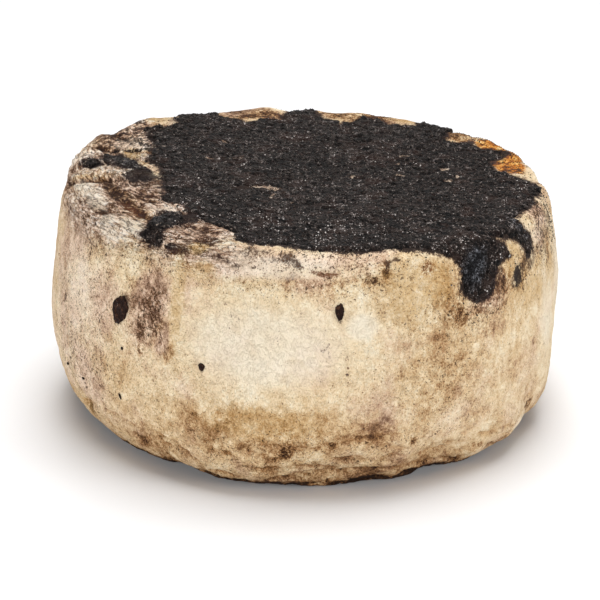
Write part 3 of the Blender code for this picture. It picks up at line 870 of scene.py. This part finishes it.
def make_ash_crust(skin, finish):
    azimuth, share = (values.ravel() for values in disc_places(CRUST_CELLS))
    way = share * crust_reach(azimuth)
    side = CRUST_CELLS + 1
    smooth = skin.points(azimuth, way)
    places = Places(azimuth, way, smooth)
    feather = flaky_share(places) * CRUST_FEATHER[1] * striations(places, CRUST_FEATHER[0], 3, 14)
    ash = ash_distance(places.x, places.y, feather)
    height, cover = crust_height(places, ash)
    normals = outward(smooth.reshape(side, side, 3), wraps=False).reshape(-1, 3)

    numbers = np.arange(side * side).reshape(side, side)
    quads = np.stack([numbers[:-1, :-1], numbers[1:, :-1], numbers[1:, 1:], numbers[:-1, 1:]], axis=2)
    quads = quads.reshape(-1, 4)
    ticks = np.linspace(CRUST_MARGIN, 1 - CRUST_MARGIN, side)
    spots = np.stack(np.meshgrid(ticks, ticks[::-1]), axis=2).reshape(-1, 2)
    # anticlockwise round the edge of the grid
    edge = np.concatenate([numbers[-1, :-1], numbers[:0:-1, -1], numbers[0, :0:-1], numbers[:-1, 0]])
    rings, faces, ring_map = crust_underside(skin, azimuth, way, spots, edge)
    corners = np.concatenate([smooth + normals * height[:, None], *rings])
    bake_map = np.concatenate([spots[quads].reshape(-1, 2), *ring_map])
    crust = piece_from("ash_crust", corners, quads.tolist() + faces, bake_map, finish)

    # painted sheen on the crust
    painted_sheen_shares = [strength * places.in_plan(*place) for *place, strength in PAINTED_SHEENS]
    # how many painted glints the ash gets here
    painted_glint_shares = [
        bell(np.hypot((places.x - x) / longer, places.y - y), half_width)
        for x, y, longer, half_width in PAINTED_GLINT_PLACES
    ]
    shares = {
        "cover": cover,
        "wear": crust_wear(places, ash),
        "sheen": np.max(painted_sheen_shares, axis=0),
        "sparkle": sum(painted_glint_shares),
    }
    below = np.zeros(len(corners) - len(way))
    for name, share in shares.items():
        paint_on(crust, name, np.concatenate([share, below]))
    return crust


# ---------------------------------------------------------------- dark marks

MARK_RAGGED = ((0.16, 1.6, 3), (0.1, 5, 2))  # share, fineness and octaves of what makes their outline ragged
MARK_WIDENS = 0.25
MARK_BUMPS = (0.5, 4)  # share and fineness of the bumps on them


def make_dark_marks(skin, finish):
    """Small flat knobs of dark crust that stand on the side."""
    whole = bmesh.new()
    for number, (azimuth, height, half_width, half_height, lean, thickness) in enumerate(DARK_MARKS):
        heights = [height - half_height, height, height + half_height]
        bulge = np.polyfit(heights, [skin.at_height(azimuth, z).xy.length for z in heights], 2)
        knob = bmesh.ops.create_icosphere(whole, subdivisions=4, radius=1)
        for vert in knob["verts"]:
            shift = Vector((number * 7.1, 3, 1))
            ragged = 0.95
            for amount, fineness, octaves in MARK_RAGGED:
                ragged += amount * noise.fractal(vert.co * fineness + shift, *OCTAVES, octaves)
            x, y, z = vert.co * ragged
            x, z = turned(x * half_width * (1 + MARK_WIDENS * z), z * half_height, -lean)
            bumps = 1 + MARK_BUMPS[0] * noise.noise(vert.co * MARK_BUMPS[1] + Vector((number, 0, 0)))
            lift = math.copysign(math.sqrt(abs(y)), -y) * thickness * bumps
            reach = np.polyval(bulge, height + z) + lift
            around = math.radians(azimuth) + x / reach
            vert.co = Vector((reach * math.cos(around), reach * math.sin(around), height + z)) * MM
    mesh = bpy.data.meshes.new("dark_marks")
    whole.to_mesh(mesh)
    whole.free()
    mesh.shade_smooth()
    mesh.materials.append(finish)
    return shown("dark_marks", mesh)


# ---------------------------------------------------------------- loose ash grains

# The grains on the crust and those that lie on the rind: how many to a square metre, and radii in metres
CRUST_GRAINS = {
    "Grains per area": 330000.0,
    "Smallest": 0.00014,
    "Largest": 0.00042,
    "Seed": 3,
    "Where": "cover",
}
STRAY_GRAINS = {
    "Grains per area": 180000.0,
    "Smallest": 0.00012,
    "Largest": 0.00042,
    "Seed": 5,
    "Where": "strewn",
}
GRAIN_TURNS = ((0, 0, 0), (6.28, 6.28, 6.28))
GRAIN_SQUATNESS = ((0.5, 0.5, 0.5), (1, 1, 1))


class Growth:
    """A Geometry Nodes tree with named inputs, built node by node."""

    def __init__(self, name):
        self.tree = bpy.data.node_groups.new(name, "GeometryNodeTree")
        self.identifiers = {}
        self.add_input("Geometry", "NodeSocketGeometry")
        self.tree.interface.new_socket("Geometry", in_out="OUTPUT", socket_type="NodeSocketGeometry")
        self.start = self.tree.nodes.new("NodeGroupInput")

    def add_input(self, name, kind):
        socket = self.tree.interface.new_socket(name, in_out="INPUT", socket_type=kind)
        self.identifiers[name] = socket.identifier

    def node(self, kind, settings=None, inputs=None):
        node = self.tree.nodes.new(kind)
        for name, value in (settings or {}).items():
            setattr(node, name, value)
        for name, value in (inputs or {}).items():
            if isinstance(value, bpy.types.NodeSocket):
                self.tree.links.new(value, node.inputs[name])
            else:
                node.inputs[name].default_value = value
        return node

    def grow_on(self, name, carrier, values, finish):
        """The tree's result on a copy of the carrier, as a piece of its own."""
        piece = shown(name, carrier.data.copy())
        modifier = piece.modifiers.new("growth", "NODES")
        modifier.node_group = self.tree
        for label, value in (values | {"Finish": finish}).items():
            modifier[self.identifiers[label]] = value
        evaluated = piece.evaluated_get(bpy.context.evaluated_depsgraph_get())
        mesh = bpy.data.meshes.new_from_object(evaluated)
        piece.modifiers.remove(modifier)
        piece.data = mesh
        mesh.name = name
        mesh.materials.clear()
        mesh.materials.append(finish)
        mesh.shade_smooth()
        return piece


def grain_growth():
    """Little squashed grains, strewn where the carrier's attribute says and half sunk into it."""
    growth = Growth("ash_grains")
    for name in ("Grains per area", "Smallest", "Largest"):
        growth.add_input(name, "NodeSocketFloat")
    growth.add_input("Seed", "NodeSocketInt")
    growth.add_input("Where", "NodeSocketString")
    growth.add_input("Finish", "NodeSocketMaterial")
    given = growth.start.outputs
    where = growth.node("GeometryNodeInputNamedAttribute", {"data_type": "FLOAT"}, {"Name": given["Where"]})
    factors = {0: given["Grains per area"], 1: where.outputs[0]}
    density = growth.node("ShaderNodeMath", {"operation": "MULTIPLY"}, factors)
    strewn = growth.node(
        "GeometryNodeDistributePointsOnFaces",
        {"distribute_method": "RANDOM"},
        {"Mesh": given["Geometry"], "Density": density.outputs[0], "Seed": given["Seed"]},
    )
    size = growth.node(
        "FunctionNodeRandomValue",
        {"data_type": "FLOAT"},
        {2: given["Smallest"], 3: given["Largest"], "Seed": given["Seed"]},
    )
    turn, squat = (
        growth.node("FunctionNodeRandomValue", {"data_type": "FLOAT_VECTOR"}, {0: least, 1: most})
        for least, most in (GRAIN_TURNS, GRAIN_SQUATNESS)
    )
    sizes = {0: squat.outputs[0], "Scale": size.outputs[1]}
    scale = growth.node("ShaderNodeVectorMath", {"operation": "SCALE"}, sizes)
    grain = growth.node("GeometryNodeMeshIcoSphere", None, {"Radius": 1.0, "Subdivisions": 1})
    placed = growth.node(
        "GeometryNodeInstanceOnPoints",
        None,
        {
            "Points": strewn.outputs["Points"],
            "Instance": grain.outputs["Mesh"],
            "Rotation": turn.outputs[0],
            "Scale": scale.outputs[0],
        },
    )
    real = growth.node("GeometryNodeRealizeInstances", None, {"Geometry": placed.outputs[0]})
    coating = {"Geometry": real.outputs[0], "Material": given["Finish"]}
    coated = growth.node("GeometryNodeSetMaterial", None, coating)
    end = growth.tree.nodes.new("NodeGroupOutput")
    growth.tree.links.new(coated.outputs[0], end.inputs[0])
    return growth


# ---------------------------------------------------------------- finishes


def paint(red, green, blue):
    """A colour as seen on a screen, from 0 to 255, as the shader needs it."""
    shares = [c / 255 for c in (red, green, blue)]
    return (*(s / 12.92 if s < 0.04045 else ((s + 0.055) / 1.055) ** 2.4 for s in shares), 1)


# Colours of the rind by its darkness, where it is golden and where it is pinkish
WARM_RIND = (
    (0.0, paint(239, 228, 205)),
    (0.25, paint(226, 204, 168)),
    (0.48, paint(202, 170, 128)),
    (0.68, paint(158, 117, 76)),
    (0.85, paint(96, 64, 39)),
    (1.0, paint(44, 27, 16)),
)
COOL_RIND = (
    (0.0, paint(244, 231, 218)),
    (0.25, paint(227, 202, 179)),
    (0.48, paint(194, 162, 136)),
    (0.68, paint(138, 106, 85)),
    (0.85, paint(80, 56, 44)),
    (1.0, paint(36, 25, 22)),
)
AMBER_RIND = (
    (0.0, paint(238, 208, 150)),
    (0.3, paint(218, 156, 66)),
    (0.5, paint(192, 112, 22)),
    (0.68, paint(140, 72, 14)),
    (0.85, paint(74, 38, 16)),
    (1.0, paint(36, 20, 14)),
)
BLOOM = paint(229, 217, 196)
OCHRE = paint(190, 152, 94)
RUST = paint(96, 50, 28)
SPECK = paint(100, 66, 34)
DARK_SPECK = paint(58, 36, 20)
# the colour of soot smudges, and of the painted shade in the cracks
SMUDGE_AND_CRACK_SHADE = paint(54, 37, 33)
# the colour of the fringe by the ash, and of the painted shadow line along its edge
FRINGE_AND_EDGE_SHADOW = paint(84, 52, 42)
SOOT = paint(25, 18, 17)
SOOT_PALE = paint(84, 70, 66)
# Shades of the ash by its tone: the darkest stand for painted shade in its pits and hollows, the palest for
# painted glints
ASH_SHADES = (
    (0.0, paint(3, 2, 2)),
    (0.3, paint(17, 12, 10)),
    (0.5, paint(39, 32, 29)),
    (0.68, paint(61, 52, 47)),
    (0.84, paint(99, 88, 82)),
    (1.0, paint(190, 180, 175)),
)
ASH_BROWN = paint(56, 40, 34)
# the colour of painted highlights, glints of light caught by grains of ash
ASH_PAINTED_GLINT = paint(232, 224, 220)
# painted sheen: paler, bluer shades of the ash where it catches the light
ASH_PAINTED_SHEEN = (
    (0.0, paint(10, 10, 12)),
    (0.35, paint(38, 38, 41)),
    (0.55, paint(66, 67, 71)),
    (0.75, paint(88, 89, 93)),
    (1.0, paint(140, 140, 146)),
)
ASH_WORN = (
    (0.2, paint(72, 48, 42)),
    (0.5, paint(150, 122, 100)),
    (0.8, paint(205, 188, 168)),
)
MARK = paint(34, 21, 17)
MARK_BROWN = paint(84, 56, 40)
FLOOR = paint(231, 231, 232)


class Wire:
    """A value in a finish's nodes, on which sums are written as Python expressions."""

    def __init__(self, finish, socket):
        self.finish = finish
        self.socket = socket

    def __add__(self, other):
        return self.finish.maths("ADD", self, other)

    def __radd__(self, other):
        return self.finish.maths("ADD", other, self)

    def __sub__(self, other):
        return self.finish.maths("SUBTRACT", self, other)

    def __rsub__(self, other):
        return self.finish.maths("SUBTRACT", other, self)

    def __mul__(self, other):
        return self.finish.maths("MULTIPLY", self, other)

    def __rmul__(self, other):
        return self.finish.maths("MULTIPLY", other, self)

    def rising(self, low, high):
        """0 below low, 1 above high, and smooth between them."""
        values = {"Value": self, "From Min": low, "From Max": high}
        return self.finish.node("MapRange", {"interpolation_type": "SMOOTHSTEP"}, values)

    def falling(self, low, high):
        return 1 - self.rising(low, high)


class Finish:
    """One material, built node by node; what its methods return are wires."""

    def __init__(self, name):
        self.material = bpy.data.materials.new(name)
        self.material.use_nodes = True
        self.tree = self.material.node_tree
        self.tree.nodes.clear()

    def node(self, kind, settings=None, inputs=None, output=0):
        node = self.tree.nodes.new("ShaderNode" + kind)
        for name, value in (settings or {}).items():
            setattr(node, name, value)
        sockets = {s.name: s for s in reversed(node.inputs)} | {s.identifier: s for s in node.inputs}
        for name, value in (inputs or {}).items():
            socket = node.inputs[name] if isinstance(name, int) else sockets[name]
            if isinstance(value, Wire):
                self.tree.links.new(value.socket, socket)
            else:
                socket.default_value = value
        outputs = node.outputs if isinstance(output, int) else {s.identifier: s for s in node.outputs}
        return Wire(self, outputs[output])

    def maths(self, operation, first, second=0.0):
        return self.node("Math", {"operation": operation}, {0: first, 1: second})

    def mix(self, first, second, share):
        return self.node(
            "Mix",
            {"data_type": "RGBA"},
            {"A_Color": first, "B_Color": second, "Factor_Float": share},
            "Result_Color",
        )

    def millimetres(self, stretch=(1, 1, 1)):
        """Places on the object in millimetres."""
        place = self.node("TexCoord", output="Object")
        scale = tuple(s / MM for s in stretch)
        return self.node("VectorMath", {"operation": "MULTIPLY"}, {0: place, 1: scale})

    def painted(self, name):
        """The share of a finish that was painted on the mesh."""
        return self.node("Attribute", {"attribute_name": name}, output="Fac")

    def noise(self, where, size, detail=3, roughness=0.6, distortion=0.0):
        """Unevenness of that size, between about -0.5 and 0.5."""
        values = {"Vector": where, "Scale": 1 / size, "Detail": detail, "Roughness": roughness}
        return self.node("TexNoise", None, values | {"Distortion": distortion}) - 0.5

    def ramp(self, value, stops):
        """The colour at that value, between stops of position and colour."""
        wire = self.node("ValToRGB", None, {"Fac": value})
        elements = wire.socket.node.color_ramp.elements
        while len(elements) < len(stops):
            elements.new(0.5)
        for element, (position, colour) in zip(elements, stops):
            element.position = position
            element.color = colour
        return wire

    def specks(self, where, size, share, radius=0.3):
        """1 inside small uneven spots: one for some of the cells of that size, in that share of them."""
        values = {"Vector": where, "Scale": 1 / size}
        distance = self.node("TexVoronoi", None, values, "Distance")
        luck = self.node("SeparateColor", None, {"Color": self.node("TexVoronoi", None, values, "Color")})
        width = Wire(self, luck.socket.node.outputs["Green"])
        inside = (distance - (width * 0.8 + 0.6) * radius).falling(-0.08, 0.02)
        return inside * (luck + share).rising(1, 1.04)

    def ridges(self, where, size, detail, width):
        """1 on thin wandering lines, 0 between them."""
        return self.maths("ABSOLUTE", self.noise(where, size, detail, 0.6, 0.5)).falling(0, width)

    def shaken(self, where, size, reach):
        """Places pushed about by up to about half the reach, so that what is drawn there is uneven."""
        push = self.node("TexNoise", None, {"Vector": where, "Scale": 1 / size, "Detail": 2}, "Color")
        values = {"Vector": push, "Vector_001": (-0.5, -0.5, -0.5)}
        centred = self.node("VectorMath", {"operation": "ADD"}, values)
        scaled = self.node("VectorMath", {"operation": "SCALE"}, {"Vector": centred, "Scale": reach})
        return self.node("VectorMath", {"operation": "ADD"}, {"Vector": where, "Vector_001": scaled})

    def bump(self, height, strength, distance):
        values = {"Height": height, "Strength": strength, "Distance": distance}
        return self.node("Bump", None, values)

    def finished(self, colour, roughness, gloss, normal=None):
        """The material, with its bumps if it has any."""
        values = {"Base Color": colour, "Roughness": roughness, "Specular IOR Level": gloss}
        shader = self.node("BsdfPrincipled", None, values | ({"Normal": normal} if normal else {}))
        end = self.tree.nodes.new("ShaderNodeOutputMaterial")
        self.tree.links.new(shader.socket, end.inputs["Surface"])
        return self.material


class MottledRind(Finish):
    """The rind's finish: its ground colour, then stains, dots and soot, all broken up by its own mottling."""

    def __init__(self):
        super().__init__("mottled_rind")
        self.where = self.millimetres()
        upright = self.millimetres((1, 1, 0.8))
        self.drift = self.noise(self.where, 17, 2, 0.5)
        self.clouds = self.noise(self.where, 7, 3, 0.6)
        self.mottle = self.noise(upright, 2.6, 4, 0.75)
        self.grain = self.noise(upright, 0.62, 2, 0.8)
        self.flaky, self.brown = self.painted("flaky"), self.painted("brown")
        self.bloom, self.plum = self.painted("bloom"), self.painted("plum")
        along = self.node("Attribute", {"attribute_name": "skin"}, output="Vector")
        self.streaks = self.noise(along, 1.25, 5, 0.75)
        # cracks between the flakes: bumped down, and darkened as painted shade
        self.shaded_cracks = self.ridges(along, 1.9, 5, 0.045) * self.flaky
        # wrinkle lines, bumped down and a little darker as painted shade
        self.wrinkles = self.ridges(self.where, 2.2, 3, 0.03)
        self.fray = self.clouds * 1.1 + self.mottle * 1.6 + self.grain * 1.1 + self.streaks * self.flaky * 2.5

    def darkness(self):
        """How dark the rind is, from 0 to 1, with its painted shade: the place along the ground colours."""
        painted = self.painted
        dark = 0.305 + self.drift * 0.35 + self.clouds * 0.55 + self.mottle * 0.6 + self.grain * 0.65
        # painted shade in the wrinkles, more on the heel
        dark = dark + self.wrinkles * (painted("heel") * 0.1 + 0.05)
        dark = dark + self.brown * (0.23 + self.clouds * 0.4 + self.mottle * 0.3)
        dark = dark + self.plum * (0.27 + self.clouds * 0.4 + self.mottle * 0.7)
        dark = dark + painted("dark") * (0.34 + self.mottle * 1.8 + self.grain)
        # the flaky shoulder's streaks, and painted shade in its cracks
        dark = dark + self.flaky * (0.05 + self.streaks * 3.4) + self.shaded_cracks * 0.15
        dark = dark - self.bloom * (0.19 + self.mottle * 0.45 + self.grain * 0.4 + self.clouds * 0.2)
        # painted shade: darker in the relief's hollows and lighter on its swells; the heel darker towards the
        # table, partly stain and partly painted shade
        dark = dark + painted("hollow") * 0.2 + painted("heel") * (0.1 + self.clouds * 0.25)
        # painted shade: darker along the creases, and at the foot where the table shades the rind
        return dark + painted("crack") * (0.4 + self.mottle) + painted("foot") * (0.34 + self.mottle * 0.8)

    def ground(self):
        """The rind's own colour, from its darkness and from how pinkish it is."""
        pinkish = 0.1 + self.painted("blush") * 0.7 + self.plum * 0.8 + self.flaky * 0.5
        pinkish = pinkish - self.painted("ochre") - self.brown * 0.3 + self.drift * 1.5 + self.mottle
        darkness = self.darkness()
        warm, cool = self.ramp(darkness, WARM_RIND), self.ramp(darkness, COOL_RIND)
        return self.mix(warm, cool, pinkish.rising(-0.1, 0.75))

    def stained(self, colour):
        """The colour with its coloured stains and painted shade in cracks, each frayed by the mottling."""
        painted, fray = self.painted, self.fray
        colour = self.mix(colour, BLOOM, (self.bloom + fray * 0.3).rising(0.3, 1.1) * 0.6)
        # painted shade in the cracks between the flakes
        colour = self.mix(colour, SMUDGE_AND_CRACK_SHADE, self.shaded_cracks * 0.8)
        colour = self.mix(colour, OCHRE, (painted("ochre") + fray * 0.5).rising(0.15, 1.0) * 0.5)
        veins = self.noise(self.where, 5.5, 3, 0.6, 1.2)
        amber = self.ramp(0.52 + veins * 3.2 + self.mottle * 0.9 + self.grain * 0.9, AMBER_RIND)
        ambered = painted("amber") + veins * 0.8 + self.mottle
        colour = self.mix(colour, amber, ambered.rising(0.3, 0.75) * 0.95)
        colour = self.mix(colour, RUST, (painted("rust") + fray).rising(0.35, 0.8) * 0.8)
        # the fringe by the ash, with the painted shadow line along its edge
        colour = self.mix(colour, FRINGE_AND_EDGE_SHADOW, (painted("fringe") * 0.55 + fray).rising(0.35, 0.75) * 0.7)
        return self.mix(colour, SMUDGE_AND_CRACK_SHADE, (painted("smudge") * 0.8 + fray * 0.8).rising(0.35, 0.85) * 0.9)

    def dotted(self, colour):
        """The colour with fine and wide dots, most of them where it is peppered."""
        shaken = self.shaken(self.where, 0.6, 0.6)
        peppered = self.painted("pepper") * 0.72 + self.brown * 0.15 - self.bloom * 0.7
        peppered = peppered + self.clouds * 1.5 + self.mottle * 1.2
        fine_dots = self.noise(shaken, 0.6, 1, 0.5, 1) + peppered * 0.1
        wide_dots = self.noise(shaken, 1.2, 2, 0.6, 1) + peppered * 0.14
        colour = self.mix(colour, SPECK, fine_dots.rising(0.15, 0.21) * 0.75)
        return self.mix(colour, DARK_SPECK, wide_dots.rising(0.21, 0.26) * 0.85)

    def sooted(self, colour):
        """The colour with the soot that the ash leaves under and beside it."""
        soot = (self.painted("soot") + self.fray).rising(0.42, 0.7)
        smear = (self.painted("smear") * 0.62 + self.fray).rising(0.42, 0.7)
        sooty = self.mix(SOOT, SOOT_PALE, (self.mottle + self.grain * 1.5).rising(0, 0.4))
        return self.mix(colour, sooty, self.maths("MAXIMUM", soot, smear) * 0.94)


def rind_finish():
    rind = MottledRind()
    colour = rind.sooted(rind.dotted(rind.stained(rind.ground())))
    height = rind.grain * 0.7 + rind.mottle + rind.streaks * rind.flaky * 1.5
    height = height - rind.shaded_cracks * 0.4 - rind.wrinkles * 0.25
    return rind.finished(colour, 0.75, 0.1, rind.bump(height, 0.8, 0.0011))


def ash_finish():
    finish = Finish("crumbly_ash")
    where = finish.millimetres()
    broad = finish.noise(where, 14, 3, 0.6)
    clumps = finish.noise(where, 2.4, 4, 0.7)
    grit = finish.noise(where, 0.9, 2, 0.7)
    dust = finish.noise(where, 0.4, 1, 0.5)
    # painted shade: hollows and pits make the tone darker, standing for the shadow in the crust's recesses
    hollows = finish.noise(where, 4.5, 3, 0.6).rising(0.05, 0.16)
    pit_shade = (finish.noise(where, 2.0, 3, 0.6) + broad * 0.3).rising(0.06, 0.13)
    tone = 0.405 + grit * 1.9 + dust * 1.5 + clumps * 1.5 + broad * 0.5 - hollows * 0.25 - pit_shade * 0.55
    colour = finish.ramp(tone, ASH_SHADES)
    brownness = (finish.noise(where, 5, 4, 0.7) + broad).rising(0, 0.2)
    colour = finish.mix(colour, ASH_BROWN, brownness * 0.5)
    # painted sheen: the ash paler and bluer where its smooth crust catches the light
    painted_sheen_share = (finish.painted("sheen") + clumps * 1.8 + grit * 1.5).rising(0.15, 1.1)
    colour = finish.mix(colour, finish.ramp(tone, ASH_PAINTED_SHEEN), painted_sheen_share)
    wear = finish.painted("wear") + clumps * 1.7 + grit * 1.7
    worn = finish.ramp(0.5 + clumps * 2 + dust * 2, ASH_WORN)
    colour = finish.mix(colour, worn, wear.rising(0.45, 0.85) * 0.9)
    # painted highlights: specks of glint colour that stand for light caught by the ash's grains
    painted_glinting = (broad + clumps) * 2 + finish.painted("sparkle") * 0.4 - 0.12
    colour = finish.mix(colour, ASH_PAINTED_GLINT, finish.specks(where, 0.85, painted_glinting, 0.28) * 0.9)
    return finish.finished(colour, 0.5, 0.09, finish.bump(grit + clumps, 1.0, 0.0012))


def mark_finish():
    finish = Finish("dried_mark")
    where = finish.millimetres()
    mottle = finish.noise(where, 1.4, 4, 0.7)
    colour = finish.mix(MARK, MARK_BROWN, mottle.rising(-0.02, 0.2) * 0.8)
    # painted highlights: a few glint specks on the mark
    colour = finish.mix(colour, ASH_PAINTED_GLINT, finish.specks(where, 0.7, 0.12, 0.2) * 0.6)
    return finish.finished(colour, 0.6, 0.08, finish.bump(mottle, 0.8, 0.001))


def floor_finish():
    return Finish("pale_floor").finished(FLOOR, 0.9, 0.1)


# ---------------------------------------------------------------- studio

CAMERA_PLACE = (-1.27, -798.4, 344.4)
CAMERA_RISE = 20.96  # degrees by which it looks down
LENS = 136.2
FLOOR_HALF = 4.0

# Soft boxes: place, aim and side in metres, and power in watts
SOFT_BOXES = (
    ("key", (-0.4, -1.6, 0.34), 0.6, 10.3),
    ("left fill", (-1.5, -0.6, 0.35), 0.6, 8.2),
    ("right fill", (1.5, -0.6, 0.35), 0.6, 12.6),
    ("overhead", (0.1, 0.2, 1.7), 1.3, 34.5),
    ("far floor", (0, 2.4, 1.8), 1.6, 16),
)
AMBIENT = 0.17


def make_camera():
    data = bpy.data.cameras.new("camera")
    data.lens = LENS
    data.sensor_width = 36
    camera = shown("camera", data)
    camera.location = Vector(CAMERA_PLACE) * MM
    camera.rotation_euler = (math.radians(90 - CAMERA_RISE), 0, 0)
    bpy.context.scene.camera = camera


def make_lights():
    for name, place, side, power in SOFT_BOXES:
        data = bpy.data.lights.new(name, "AREA")
        data.shape = "SQUARE"
        data.size = side
        data.energy = power
        light = shown(name, data)
        light.location = place
        sight = Vector((0, 0, WHEEL_HEIGHT * MM / 2)) - light.location
        light.rotation_euler = sight.to_track_quat("-Z", "Y").to_euler()
    world = bpy.data.worlds.new("studio")
    world.use_nodes = True
    background = world.node_tree.nodes["Background"]
    background.inputs["Color"].default_value = (1, 1, 1, 1)
    background.inputs["Strength"].default_value = AMBIENT
    bpy.context.scene.world = world
    bpy.context.scene.view_settings.view_transform = "Standard"


def make_floor():
    mesh = bpy.data.meshes.new("floor")
    h = FLOOR_HALF
    mesh.from_pydata([(-h, -h, 0), (h, -h, 0), (h, h, 0), (-h, h, 0)], [], [(0, 1, 2, 3)])
    mesh.materials.append(floor_finish())
    shown("floor", mesh)


# ---------------------------------------------------------------- the whole


def main():
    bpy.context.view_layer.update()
    skin = Skin(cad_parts["wheel"])
    ash = ash_finish()
    rind = make_rind(skin, rind_finish())
    crust = make_ash_crust(skin, ash)
    marks = make_dark_marks(skin, mark_finish())
    growth = grain_growth()
    grains = growth.grow_on("ash_grains", crust, CRUST_GRAINS, ash)
    strays = growth.grow_on("stray_grains", rind, STRAY_GRAINS, ash)
    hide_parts("wheel")
    for piece in (rind, crust, marks, grains, strays):
        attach(piece, "root")
    make_camera()
    make_lights()
    make_floor()


main()
